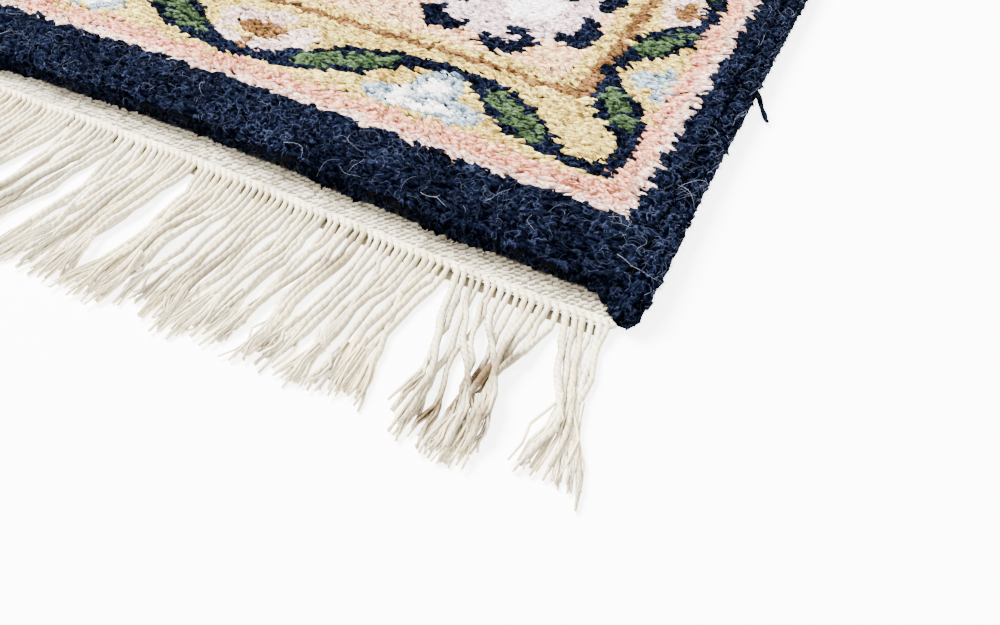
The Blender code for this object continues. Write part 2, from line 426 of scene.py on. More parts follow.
# Points along a vine that swings between turning points, with how far each lies into its swing
def vineLine(turns, alongFirst):
    samples = np.linspace(0, 1, 60, endpoint=False)
    lines, shares = [], []
    for start, stop in zip(turns, turns[1:]):
        start, stop = np.array(start), np.array(stop)
        even, eased = samples, samples * samples * (3 - 2 * samples)
        mixed = (even, eased) if alongFirst else (eased, even)
        lines.append(np.stack([start[k] + (stop[k] - start[k]) * mixed[k] for k in (0, 1)], -1))
        shares.append(samples)
    return np.concatenate(lines), np.concatenate(shares)


# Whether each place lies inside an ellipse
def inEllipse(u, v, middle, halves):
    return 1 - ((u - middle[0]) / halves[0]) ** 2 - ((v - middle[1]) / halves[1]) ** 2 > 0


# Paints one vine over the chart: navy within its width of the line, green in the heart of each leaf
def paintVine(chart, u, v, line, width, core):
    near = (u > line[:, 0].min() - 12) & (u < line[:, 0].max() + 12)
    near &= (v > line[:, 1].min() - 12) & (v < line[:, 1].max() + 12)
    spots = np.stack([u[near], v[near]], -1)
    gaps = np.linalg.norm(spots[:, None, :] - line[None], axis=-1)
    nearest = gaps.argmin(1)
    gap = gaps.min(1)
    found = chart[near]
    found[gap < width[nearest]] = yarns.index("navy")
    found[gap < core[nearest]] = yarns.index("green")
    chart[near] = found


# A fan of pale blue with a white heart, its foot on the outer stripe; along and across run from its foot
def paintFan(chart, along, across, size):
    along, across = along / size[0], across / size[1]
    blue = inEllipse(along, across, (-13, 4.5), (9, 6.5)) | inEllipse(along, across, (14, 3.5), (8.5, 5.5))
    blue |= inEllipse(along, across, (0, 13), (9.5, 13.5)) | inEllipse(along, across, (0, 5), (17, 6))
    white = inEllipse(along, across, (0, 10), (5.5, 10)) | inEllipse(along, across, (-7, 4.5), (6, 4))
    white |= inEllipse(along, across, (8, 5), (6, 5.5))
    dot = inEllipse(along, across, (1.5, 7), (3.6, 4.2))
    chart[blue] = yarns.index("blue")
    if size[0] > 0.7:
        chart[white] = yarns.index("white")
    chart[dot] = yarns.index("blue")


# A brown bloom on a stalk between pale petals, its foot on the vine
def paintBloom(chart, along, across, size):
    along, across = along / size[0], across / size[1]
    petals = inEllipse(along, across, (-15, 17), (7.5, 9.5)) | inEllipse(along, across, (13, 20), (8, 7.5))
    petals |= inEllipse(along, across, (-8, 7), (6.5, 5.5)) | inEllipse(along, across, (8, 7.5), (6, 4.5))
    petals |= inEllipse(along, across, (0, 26), (9, 4.5))
    brown = inEllipse(along, across, (0, 17), (10.5, 5.6))
    brown |= (np.abs(along) < 2.4) & (across > 2.5) & (across < 15)
    chart[petals] = yarns.index("blush")
    chart[brown] = yarns.index("brown")


# How far out each place lies in a lobed rosette, as a share of its edge there, and its angle round the middle
def rosetteShare(u, v, middle, halves, lobes, depth):
    du, dv = (u - middle[0]) / halves[0], (v - middle[1]) / halves[1]
    angle = np.arctan2(dv, du)
    return np.hypot(du, dv) / (1 + depth * np.cos(lobes * angle)), angle


fieldPlan = {
    "cornerBloom": (101.0, 129.0),
    "cornerHalves": (36.0, 37.0),
    "heart": (93.5, 125.0),
    "heartHalves": (12.0, 12.5),
    # the blossom's navy flecks: their angle, how far out as a share of its reach, and half their size
    "flecks": (
        (-2.0, 0.72, (4.6, 4.0)), (-0.55, 0.66, (2.6, 3.6)),
        (2.6, 0.62, (4.0, 4.0)), (1.2, 0.64, (4.2, 4.0)),
    ),
    "medallionHalves": (112.0, 165.0),
    # the medallion's layers: how far each reaches, and its yarn
    "medallion": (
        (1.0, "navy"), (0.93, "yellow"), (0.80, "brown"), (0.765, "lilac"), (0.50, "navy"), (0.455, "blue"),
        (0.33, "white"), (0.19, "brown"), (0.10, "yellow"),
    ),
    "medallionFlowers": ((0, 104), (57, 66), (74, 0)),
    # turning points of the two sprays, and whether each swings along the rug first
    "sprays": (
        (((0.0, 176.0), (52.0, 214.0), (96.0, 262.0), (150.0, 292.0)), True),
        (((128.0, 0.0), (176.0, 48.0), (150.0, 110.0), (190.0, 170.0), (172.0, 240.0)), False),
    ),
    # the small flowers: their middle, radius, petals and heart
    "flowers": (
        ((0, 208), 15, "lilac", "brown"), ((96, 258), 13, "blue", "white"),
        ((182, 52), 13, "blush", "brown"), ((148, 112), 12, "blue", "yellow"),
        ((192, 172), 13, "yellow", "brown"), ((0, 318), 17, "blush", "brown"),
        ((52, 342), 9, "blue", "white"), ((200, 0), 14, "lilac", "yellow"),
        ((60, 292), 10, "yellow", "brown"), ((214, 240), 9, "white", "brown"),
    ),
}


# The big pale blossom: a broken navy edge of scallops, a lilac body, a white heart and a few navy flecks
def paintBlossom(chart, u, v):
    middle, halves = fieldPlan["cornerBloom"], fieldPlan["cornerHalves"]
    share, angle = rosetteShare(u, v, middle, halves, 7, 0.10)
    body = share < 1.0
    edge = (share > 0.84) & (share < 1.10) & (np.cos(7 * angle + 0.5) > -0.62)
    chart[body] = yarns.index("lilac")
    chart[edge] = yarns.index("navy")
    white, _ = rosetteShare(u, v, fieldPlan["heart"], fieldPlan["heartHalves"], 5, 0.12)
    chart[white < 1.0] = yarns.index("white")
    for turn, far, size in fieldPlan["flecks"]:
        spot = (middle[0] + far * halves[0] * math.cos(turn), middle[1] + far * halves[1] * math.sin(turn))
        chart[inEllipse(u, v, spot, size)] = yarns.index("navy")


# A small five-petalled flower with a round heart
def paintSmallFlower(chart, u, v, middle, radius, petal, heart):
    rim, _ = rosetteShare(u, v, middle, (radius + 3.4, radius + 3.4), 5, 0.20)
    inner, _ = rosetteShare(u, v, middle, (radius, radius), 5, 0.24)
    chart[rim < 1] = yarns.index("navy")
    chart[inner < 1] = yarns.index(petal)
    chart[inEllipse(u, v, middle, (radius * 0.42, radius * 0.42))] = yarns.index(heart)


# The field's middle, in millimetres from the rug's middle: a lobed medallion, sprays and small flowers
def paintField(chart, p, q):
    halfA, halfB = fieldPlan["medallionHalves"]
    for reach, yarn in fieldPlan["medallion"]:
        lobes, depth = (8, 0.07) if reach > 0.6 else (8, 0.14)
        share, _ = rosetteShare(p, q, (0, 0), (halfA * reach, halfB * reach), lobes, depth)
        chart[share < 1] = yarns.index(yarn)
    for middle in fieldPlan["medallionFlowers"]:
        paintSmallFlower(chart, p, q, middle, 8.5, "blush", "brown")
    for turns, alongFirst in fieldPlan["sprays"]:
        line, share = vineLine(turns, alongFirst)
        swell = np.sin(np.pi * share) ** 2
        paintVine(chart, p, q, line, 2.2 + 4.6 * swell, 3.6 * smoothRise(swell, 0.45, 0.9))
    for middle, radius, petal, heart in fieldPlan["flowers"]:
        paintSmallFlower(chart, p, q, middle, radius, petal, heart)


# The yarn of every knot, from its place in metres: stripes first, then the field, vines and flowers
def chartYarns(x, y, rng):
    u = rugPlan["halfRug"] / mm - np.abs(x) / mm + rng.uniform(-0.7, 0.7, x.shape)
    v = rugPlan["pileHalfY"] / mm - np.abs(y) / mm - 0.5 * endWave(x) / mm + rng.uniform(-0.8, 0.8, x.shape)
    chart = np.full(x.shape, yarns.index("peach"))
    borderV, borderU, _ = borderPlan["stripes"][-1]
    field = (v > borderV) & (u > borderU)
    inner = chart[field]
    paintField(inner, np.abs(x[field]) / mm, np.abs(y[field]) / mm)
    paintBlossom(inner, u[field], v[field])
    chart[field] = inner
    for endReach, sideReach, yarn in reversed(borderPlan["stripes"]):
        chart[(v < endReach) | (u < sideReach)] = yarns.index(yarn)
    # A few yellow knots stray into the pink stripe's inner rim
    mottled = (rng.random(x.shape) < 0.35) & (chart == yarns.index("pink"))
    chart[mottled & (((v > 34.5) & (u > 34)) | ((u > 25.2) & (v > 45)))] = yarns.index("yellow")
    for turn, (centre, _) in enumerate(borderPlan["endTurns"][:-1]):
        paint = paintBloom if turn % 2 == 0 else paintFan
        squeeze = 0.8 if centre > 200 else 1.0
        band = (v > 37.6) & (v < 76) & (np.abs(u - centre) < 30)
        part = chart[band]
        paint(part, (u[band] - centre), v[band] - 40.5, (squeeze, 1.0))
        chart[band] = part
    for turn, (_, centre) in enumerate(borderPlan["sideTurns"][1:]):
        paint = paintFan if turn % 2 == 0 else paintBloom
        band = (u > 27.2) & (u < 50.6) & (np.abs(v - centre) < 26) & (v > 60)
        part = chart[band]
        size = (0.52, 0.62) if paint is paintFan else (0.78, 0.74)
        paint(part, (v[band] - centre), u[band] - 26.5, size)
        chart[band] = part
    for turns, alongFirst, leaves in (
        (borderPlan["endTurns"], True, 1.0),
        (borderPlan["corner"], True, 0.0),
        (borderPlan["sideTurns"], False, 1.0),
    ):
        line, share = vineLine(turns, alongFirst)
        swell = np.sin(np.pi * share) ** 2.4 * leaves
        width = borderPlan["vineHalf"] + (borderPlan["leafHalf"] - borderPlan["vineHalf"]) * swell
        core = borderPlan["leafCore"] * smoothRise(swell, 0.35, 0.75)
        paintVine(chart, u, v, line, width, core)
    # Navy flecks in the green
    chart[(rng.random(x.shape) < 0.10) & (chart == yarns.index("green"))] = yarns.index("navy")
    return chart


# The pile

pileLook = {
    "columns": 195,
    "rows": 232,
    "tufts": 3,            # to a knot
    "length": 5.1 * mm,
    "width": 1.9 * mm,
    "height": 1.3 * mm,
    "heightSpread": 0.26 * mm,
    "shift": 0.30 * mm,
    "heading": -0.14,      # the way that the lobes lie, towards one long side, in radians from +X
    "headingSpread": 0.26,
    "swirl": 0.28,         # how far that way swings from place to place
    "sizeSpread": 0.12,
    "toneSpread": 0.20,
    "mostTufts": 46000,    # in one piece
    # how much lower the pile is at its rims and over how far, and how uneven its top is
    "endDrop": (1.5 * mm, 7 * mm),
    "sideDrop": (2.2 * mm, 11 * mm),
    "uneven": 0.2 * mm,
}


# How far the pile's top is below its full height: rounded off at its ends and sides, and never quite level
def pileDrop(x, y):
    fromEnd, fromSide = rugPlan["pileHalfY"] - np.abs(y), rugPlan["halfRug"] - np.abs(x)
    (endLow, endReach), (sideLow, sideReach) = pileLook["endDrop"], pileLook["sideDrop"]
    drop = endLow * (1 - smoothRise(fromEnd, 0, endReach))
    drop = drop + sideLow * (1 - smoothRise(fromSide, 0, sideReach))
    waves = np.sin(x / 0.019 + np.sin(y / 0.031)) + np.sin(y / 0.023 + 1.7 * np.sin(x / 0.041))
    return drop + pileLook["uneven"] * waves


# A grid of knots with the yarns that the chart gives them; each is a few cut ends, lying over one way
def growPile():
    rng = np.random.default_rng(11)
    halfX, halfY = rugPlan["panelHalfX"], rugPlan["pileHalfY"]
    stepX, stepY = 2 * halfX / pileLook["columns"], 2 * halfY / pileLook["rows"]
    x, y = np.meshgrid(
        (np.arange(pileLook["columns"]) + 0.5) * stepX - halfX,
        (np.arange(pileLook["rows"]) + 0.5) * stepY - halfY,
    )
    x, y = x.ravel(), y.ravel()
    tufts = pileLook["tufts"]
    count = tufts * len(x)
    beside = np.tile((np.arange(tufts) + 0.5) / tufts - 0.5, len(x))
    lineX = np.repeat(x * (halfX + sideWave(y)) / halfX, tufts)
    lineX = lineX + rng.uniform(-0.5, 0.5, count) * stepX * 0.8
    lineY = np.repeat(y * (halfY - endWave(x)) / halfY, tufts)
    lineY = lineY + (beside + rng.uniform(-0.1, 0.1, count)) * stepY
    chart = chartYarns(lineX, lineY, rng)
    centres = np.stack([lineX, lineY, rugPlan["pileTop"] - 0.5 * mm - pileDrop(lineX, lineY)], -1)
    shift, rise = pileLook["shift"], pileLook["heightSpread"]
    centres += rng.normal(0, 1, (count, 3)) * [shift, shift, rise]
    centres[:, 2] = np.minimum(centres[:, 2], rugPlan["pileTop"] + 0.3 * mm)
    heading = pileLook["heading"] + rng.normal(0, pileLook["headingSpread"], count)
    heading += pileLook["swirl"] * np.sin(lineX / 0.013 + 2 * np.sin(lineY / 0.017))
    lie = np.stack([np.cos(heading), np.sin(heading), np.zeros(count)], -1)
    tilt = [rng.normal(0.05, 0.12, count), rng.normal(-0.05, 0.12, count), np.ones(count)]
    outward = unit(np.stack(tilt, -1))
    sizes = np.array([pileLook[key] for key in ("length", "width", "height")])
    sizes = sizes * rng.normal(1, pileLook["sizeSpread"], (count, 3))
    tones = np.repeat(rng.normal(0.45, pileLook["toneSpread"], len(x)), tufts)
    tones = np.clip(tones + rng.normal(0, pileLook["toneSpread"], count), 0, 1)
    pieces = []
    for index, yarn in enumerate(yarns):
        chosen = np.flatnonzero(chart == index)
        parts = max(1, math.ceil(len(chosen) / pileLook["mostTufts"]))
        for part, own in enumerate(np.array_split(chosen, parts)):
            name = f"pile_{yarn}" + (f"_{part + 1}" if parts > 1 else "")
            pieces.append(lobePiece(name, centres[own], lie[own], outward[own], sizes[own], tones[own], rng,
                                    wools[yarn], crest=0, lean=0.22, rough=0.08))
    print("knots tied:", len(x), {yarn: int((chart == i).sum()) // tufts for i, yarn in enumerate(yarns)})
    return pieces


wallLook = {
    "columns": 300,
    "halfX": 0.2905,
    "heights": (2.6, 4.4, 6.3, 8.3),    # of each row of lobes, in millimetres
    "out": (0.3, 0.7, 0.6, 0.1),        # how far each row stands out, in millimetres
    "size": (3.8, 2.7, 2.4),            # a lobe's length, width and height, in millimetres
    "bankSize": (1.05, 1.05, 1.9),      # a corner lobe's, as shares of those
    "bank": (8, 7),                     # a corner bank's lobes, inwards and out over the band
    "bankFrom": 0.4475,                 # how far out the bank begins, in metres, and its reach
    "bankReach": 9.6 * mm,
}


# Lobes on the pile's two end walls, in rows that hang outwards and down over the woven bands
def growWalls():
    rng = np.random.default_rng(12)
    heights, stand = np.array(wallLook["heights"]) * mm, np.array(wallLook["out"])
    along = np.linspace(-wallLook["halfX"], wallLook["halfX"], wallLook["columns"])
    line, row, end = (part.ravel() for part in np.meshgrid(along, np.arange(len(heights)), [-1.0, 1.0]))
    line = line + rng.normal(0, 0.5 * mm, line.size)
    count = len(line)
    ragged = 0.5 * np.sin(line / 0.0031 + 3 * np.sin(line / 0.011)) + 0.4 * np.sin(line / 0.0074)
    out = rugPlan["pileHalfY"] - endWave(line) - 0.5 * mm + (stand[row] + ragged) * mm
    out = end * (out + rng.normal(0, 0.3 * mm, count))
    centres = np.stack([line, out, heights[row] + rng.normal(0, 0.4 * mm, count)], -1)
    outward = unit(np.stack([rng.normal(0, 0.15, count), end, 0.15 + 0.12 * row], -1))
    lie = np.stack([rng.normal(0, 0.8, count), np.zeros(count), -np.ones(count)], -1)
    # At each corner a small bank of wool comes down over the band's end
    inwards, outwards = wallLook["bank"]
    bank = np.meshgrid((np.arange(outwards) + 0.4) / outwards, (np.arange(inwards) + 0.5) / inwards)
    far, inward = (part.ravel() for part in bank)
    reachIn = 6.0 + inward * (2.5 + 17 * (1 - far) ** 1.3)
    for side in (-1, 1):
        for endHere in (-1, 1):
            bankX = side * (rugPlan["halfRug"] - reachIn * mm) + rng.normal(0, 0.4 * mm, len(far))
            bankOut = wallLook["bankFrom"] + wallLook["bankReach"] * far
            bankY = endHere * (bankOut + rng.normal(0, 0.3 * mm, len(far)))
            bankZ = (9.3 - 4.6 * far - 0.12 * (reachIn - 6)) * mm
            centres = np.concatenate([centres, np.stack([bankX, bankY, bankZ], -1)])
            slope = [-side * 0.3 * np.ones(len(far)), endHere * (0.35 + 0.4 * far), np.ones(len(far))]
            outward = np.concatenate([outward, unit(np.stack(slope, -1))])
            lie = np.concatenate([lie, rng.normal(0, 1, (len(far), 3))])
    count = len(centres)
    sizes = np.array(wallLook["size"]) * mm * rng.normal(1, 0.12, (count, 3))
    sizes[-4 * len(far):] *= wallLook["bankSize"]
    tones = np.clip(rng.normal(0.35, 0.2, count), 0, 1)
    return lobePiece("pile_walls", centres, lie, outward, sizes, tones, rng, wools["navy"],
                     lean=0.1)


pilePieces = [*growPile(), growWalls()]


# The ground under the tufts: a closed slab whose rim follows the pile's edge, dyed as charted but darkened as
# painted shade in the gaps between tufts

groundLook = {
    "columns": 78,
    "rows": 120,
    "top": 7.9 * mm,
    "foot": 0.4 * mm,
    "shade": 0.16,
}


def growGround():
    rng = np.random.default_rng(5)
    columns, rows = groundLook["columns"] + 1, groundLook["rows"] + 1
    halfX, halfY = rugPlan["panelHalfX"], rugPlan["pileHalfY"]
    u, v = np.meshgrid(np.linspace(-1, 1, columns), np.linspace(-1, 1, rows))
    top = np.stack([u * halfX, v * halfY, np.zeros_like(u)], -1)
    inset = np.stack([np.abs(u) > 0.9999, np.abs(v) > 0.9999], -1)
    top[..., 0] *= (halfX + sideWave(top[..., 1])) / halfX
    top[..., 1] *= (halfY - endWave(top[..., 0]) - 0.9 * mm) / halfY
    under = top.copy()
    top[..., 2] = groundLook["top"] - 1.2 * mm * inset.any(-1)
    under[..., 2] = groundLook["foot"]
    under[..., 1] *= 1 - 0.0016 * inset[..., 1]
    index = np.arange(columns * rows).reshape(rows, columns)
    a, b, c, d = index[:-1, :-1], index[:-1, 1:], index[1:, 1:], index[1:, :-1]
    upper = np.stack([a, b, c, d], -1).reshape(-1, 4)
    rim = np.concatenate([index[0, :], index[1:, -1], index[-1, -2::-1], index[-2:0:-1, 0]])
    rimAfter = np.roll(rim, -1)
    # Only the rim goes down to the foot, where one broad face closes the slab
    footOf = len(index.ravel()) + np.arange(len(rim))
    footAfter = np.roll(footOf, -1)
    wall = np.stack([rim, footOf, footAfter, rimAfter], -1)
    bottom = footOf[::-1][None, :]
    points = np.concatenate([top.reshape(-1, 3), under.reshape(-1, 3)[rim]])
    chart = chartYarns(top[..., 0].ravel(), top[..., 1].ravel(), rng)
    tones = np.array([dye(*yarnTones[yarn][1])[:3] for yarn in yarns])
    # Painted shade: the charted tones darkened by the shade share, and the rim by half again
    colours = np.concatenate([tones[chart], tones[chart][rim] * 0.5]) * groundLook["shade"]
    material, tree, shader = startMaterial("pile_ground")
    paint = ownValue(tree, "dye", "Color")
    fibre = grainNoise(tree, woolLook["fibre"], detail=3.0)
    # Painted shade: where the fibre noise is high the colour goes near-black
    colour = mixColour(tree, spread(tree, fibre, 0.35, 0.7), paint, dye(3, 3, 6))
    tree.links.new(colour, shader.inputs["Base Color"])
    matte(shader, woolLook["roughness"], 0.1)
    piece = meshPiece("pile_ground", points, [upper, wall, bottom], material)
    layer = piece.data.color_attributes.new("dye", "FLOAT_COLOR", "POINT")
    colours = np.hstack([colours, np.ones((len(colours), 1))])
    layer.data.foreach_set("color", colours.astype(np.float32).ravel())
    print("ground laid:", len(piece.data.polygons), "faces")
    return piece


pileGround = growGround()
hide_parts("pile_panel")


# Cotton

cottonLook = {
    # cream, pale, deep and stained tones
    "string": (dye(238, 220, 178), dye(255, 249, 226), dye(112, 101, 76), dye(92, 72, 50)),
    "frayed": (dye(234, 216, 174), dye(254, 246, 220), dye(120, 106, 76), dye(100, 80, 56)),
    "shaded": (dye(128, 116, 92), dye(156, 144, 118), dye(78, 70, 54), dye(70, 56, 40)),
    "woven": (dye(196, 184, 158), dye(255, 247, 226), dye(92, 84, 66), dye(120, 96, 64)),
}


# Cotton: cream with fine fibres and its own tone, slow patches of the deep tone, the deep tone as painted
# shade in the fibres' hollows, brown where the stain number rises
def cottonMaterial(kind):
    material, tree, shader = startMaterial(f"cotton_{kind}")
    cream, pale, deep, stained = cottonLook[kind]
    tone = ownValue(tree, "tone")
    fibre = grainNoise(tree, (1300.0, 1300.0, 1300.0), detail=3.0)
    cloud = grainNoise(tree, (110.0, 34.0, 110.0))
    colour = mixColour(tree, math2(tree, "MULTIPLY", tone, 0.8), cream, pale)
    colour = mixColour(tree, spread(tree, cloud, 0.48, 0.70, (0.0, 0.42)), colour, deep)
    # Painted shade: the deep tone in the hollows of the fine fibre noise
    colour = mixColour(tree, spread(tree, fibre, 0.35, 0.65, (0.30, 0.0)), colour, deep)
    height = fibre
    if kind == "woven":
        # Painted shade: the stitches take the deep tone towards their feet; pieces without a tip number are
        # nearly all in it
        tip = ownValue(tree, "tip")
        colour = mixColour(tree, spread(tree, tip, 0.0, 0.80, (0.9, 0.0)), colour, deep)
    else:
        soak = math2(tree, "MULTIPLY", ownValue(tree, "stain"), spread(tree, fibre, 0.2, 0.7, (0.6, 1.0)))
        colour = mixColour(tree, soak, colour, stained)
    if kind == "string":
        # Two strands wound round each other: the groove follows twice the turn less the run over half the
        # lay, and is darkened as painted shade.
        # Aloft is the sine of the turn, from -1 at the underside to 1 at the top; the underside and sides
        # take the deep tone as painted shade.
        place = node(tree, "ShaderNodeUVMap", uv_map="strand").outputs["UV"]
        apart = node(tree, "ShaderNodeSeparateXYZ", links={"Vector": place})
        aloft = math2(tree, "SINE", math2(tree, "MULTIPLY", apart.outputs["X"], 2 * math.pi), 0.0)
        colour = mixColour(tree, spread(tree, aloft, -0.45, 0.85, (0.85, 0.0)), colour, deep)
        phase = math2(tree, "SUBTRACT", math2(tree, "MULTIPLY", apart.outputs["X"], 2.0),
                      math2(tree, "MULTIPLY", apart.outputs["Y"], 0.46))
        wave = math2(tree, "SINE", math2(tree, "MULTIPLY", phase, math.pi), 0.0)
        ply = math2(tree, "ABSOLUTE", wave, 0.0)
        colour = mixColour(tree, spread(tree, ply, 0.0, 0.5, (0.32, 0.0)), colour, deep)
        height = math2(tree, "ADD", math2(tree, "MULTIPLY", fibre, 0.45), ply)
    tree.links.new(colour, shader.inputs["Base Color"])
    bump = node(tree, "ShaderNodeBump", {"Strength": 0.8, "Distance": 0.34 * mm}, {"Height": height})
    tree.links.new(bump.outputs["Normal"], shader.inputs["Normal"])
    matte(shader, 0.9, 0.05)
    return material


cottons = {kind: cottonMaterial(kind) for kind in cottonLook}


# The woven bands

kilimLook = {
    "stitches": 290,
    "rows": 6,
    "rise": 0.75 * mm,       # of the stitches above the slab
    "root": 0.5 * mm,        # how deep they go into it
    "slant": 0.42,
    "stitchSize": (1.25, 1.12),    # as shares of the step along the band and across it
}


# A thin slab from the pile's foot to the ridge, with rows of slanted stitches over it, each half a stitch on
def weaveKilim(end, label, seed):
    rng = np.random.default_rng(seed)
    x = np.linspace(-rugPlan["panelHalfX"], rugPlan["panelHalfX"], 121)
    back = rugPlan["pileHalfY"] - endWave(x) - 0.9 * mm
    front = ridgeBack(x) - 0.1 * mm
    low, top = 0.1 * mm, rugPlan["kilimTop"] - kilimLook["rise"]
    section = ((back, low), (front, low), (front, top), (back, top))
    rings = np.stack([np.stack([x, end * y, np.full_like(x, z)], -1) for y, z in section], 1)
    if end > 0:
        rings = rings[:, ::-1]
    # The band has no tip number, so it shows almost all in the deep tone: painted shade between the stitches
    band = loftPiece(f"kilim_band_{label}", rings, cottons["woven"], smooth=False)
    rows = kilimLook["rows"]
    step = 2 * rugPlan["panelHalfX"] / kilimLook["stitches"]
    column, row = np.meshgrid(np.arange(kilimLook["stitches"]), np.arange(rows))
    column, row = column.ravel(), row.ravel()
    place = (column + 0.25 + 0.5 * (row % 2)) * step - rugPlan["panelHalfX"]
    near = rugPlan["pileHalfY"] - endWave(place) - 0.6 * mm
    far = ridgeBack(place)
    y = near + (far - near) * (row + 0.55) / rows
    count = len(place)
    centres = np.stack([place, end * y, np.full(count, rugPlan["kilimTop"])], -1)
    centres += rng.normal(0, 0.16 * mm, (count, 3))
    slant = kilimLook["slant"] * -end + rng.normal(0, 0.14, count)
    lie = np.stack([np.cos(slant), np.sin(slant), np.zeros(count)], -1)
    outward = np.tile([0.0, 0.0, 1.0], (count, 1))
    alongShare, acrossShare = kilimLook["stitchSize"]
    sizes = [np.full(count, step * alongShare), (far - near) / rows * acrossShare,
             np.full(count, kilimLook["rise"] + kilimLook["root"])]
    # Rows nearer the pile get lower tones and so look darker: painted shadow of the pile, with random tone
    # besides
    tones = np.clip(0.05 + 0.16 * row + rng.normal(0, 0.22, count), 0, 1)
    ribs = lobePiece(f"kilim_stitches_{label}", centres, lie, outward, np.stack(sizes, -1), tones,
                     rng, cottons["woven"], lean=0.0, crest=0.27, rough=0.05)
    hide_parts(f"kilim_{label}")
    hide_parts(f"kilim_{label}")
    return band, ribs


bands = {label: weaveKilim(end, label, seed) for end, label, seed in ((-1, "south", 21), (1, "north", 22))}
print("bands woven")


# The fringe

fringeLook = {
    "pitch": 2.4 * mm,
    "radius": 1.0 * mm,
    "steps": 14,
    "plies": 6,
    "plySteps": 5,
    "loop": 2.6 * mm,      # how far along the rug each string leans as it leaves the ridge
    "frays": 0.74,         # the share of its length at which a string opens into plies
    "strayShare": 0.24,    # of the strings past the first ones, and how far they stray
    "strayFrom": 22,
    "stray": 4.5 * mm,
    "strand": (0.90 * mm, 0.80 * mm, 0.60 * mm),    # the ridge's strands: radius, swing outwards and upwards
    "ridgeHeight": 1.42 * mm,
    "underCord": (1.9 * mm, 0.27, 3.1 * mm, 0.62 * mm),    # radius, flatness, place beyond the ridge, height
    # strings in a lock, its drift towards the corner, how close it gathers, how wide its tips spread and
    # its length
    "firstLocks": (
        (6, 11.0, 0.55, 1.40, 50), (8, 1.0, 0.36, 0.90, 54), (6, 6.0, 0.62, 0.95, 53),
        (5, -2.0, 0.85, 1.05, 54), (7, -2.5, 0.88, 1.00, 54), (8, -1.0, 0.80, 1.00, 54),
        (4, -1.5, 0.60, 1.00, 55), (7, 1.0, 0.88, 1.00, 56), (8, -0.5, 0.70, 0.95, 57),
        (4, -1.0, 0.64, 1.00, 58), (9, 0.5, 0.78, 0.95, 59),
    ),
    # strings that lie across the others: which, counted from the corner, and how far they stray
    "across": ((10, 7.0), (13, 13.0), (15, 8.0), (17, 15.0), (19, 6.0)),
    # brown places: along the rug, out from the pile's end, and their reach, in millimetres from the corner
    "stains": (
        (-86, 22, 3, 11, 0.8), (-116, 42, 4, 16, 0.7), (-124, 56, 4, 13, 0.9), (-84, 60, 3, 6, 0.8),
        (-26, 34, 4.5, 8, 1.1), (-29.5, 42, 5, 9, 1.5), (-33, 51, 4.5, 9, 1.5), (-36, 57, 4, 7, 1.2),
        (-24, 54, 5, 7, 1.0), (-33, 30, 2.2, 4, 1.0), (-213, 27, 5, 8, 0.6), (-47, 20, 2.4, 9, 0.8),
        (-70, 50, 3, 8, 0.5),
        (-10, 52, 5, 8, 0.35), (-150, 58, 5, 8, 0.5), (-190, 48, 4, 12, 0.5), (-136, 30, 2.5, 12, 0.5),
        (-108, 30, 2.5, 12, 0.5), (-72, 28, 2.5, 10, 0.4), (-160, 40, 2.5, 14, 0.5), (-14, 20, 2.5, 7, 0.45),
        (-52, 58, 4, 8, 0.5), (-12, 26, 3, 6, 0.3), (-42, 52, 4, 6, 0.6),
    ),
}


# For each string of one end, from the +X corner on: its root, its lock's middle, drift, gather, spread,
# length and bow
def planLocks(first, rng):
    pitch = fringeLook["pitch"]
    count = int(2 * rugPlan["ridgeHalfX"] / pitch)
    roots = rugPlan["ridgeHalfX"] - pitch * (np.arange(count) + 0.5)
    rows, done = [], 0
    locks = list(fringeLook["firstLocks"]) if first else []
    while done < count:
        if locks:
            strings, drift, gather, open_, length = locks.pop(0)
        else:
            strings, drift, length = rng.integers(3, 11), rng.normal(0.0, 2.0), rng.normal(58.5, 1.8)
            gather = rng.uniform(0.50, 0.92)
            open_ = gather + rng.uniform(0.05, 0.35)
        own = roots[done:done + strings]
        bow = rng.normal(0, 1.4)
        rows.extend([own.mean(), drift * mm, gather, open_, length * mm, bow * mm] for _ in own)
        done += strings
    return roots, np.array(rows).T


# How brown each place is: the fullest of a few soft oblong patches
def stainAt(x, y):
    alongX = (x - rugPlan["halfRug"]) / mm
    out = np.abs(y) / mm - rugPlan["pileHalfY"] / mm
    found = np.zeros(x.shape)
    for midX, midOut, reachX, reachOut, depth in fringeLook["stains"]:
        far = ((alongX - midX) / reachX) ** 2 + ((out - midOut) / reachOut) ** 2
        found = np.maximum(found, depth * np.exp(-far * 1.4))
    return found


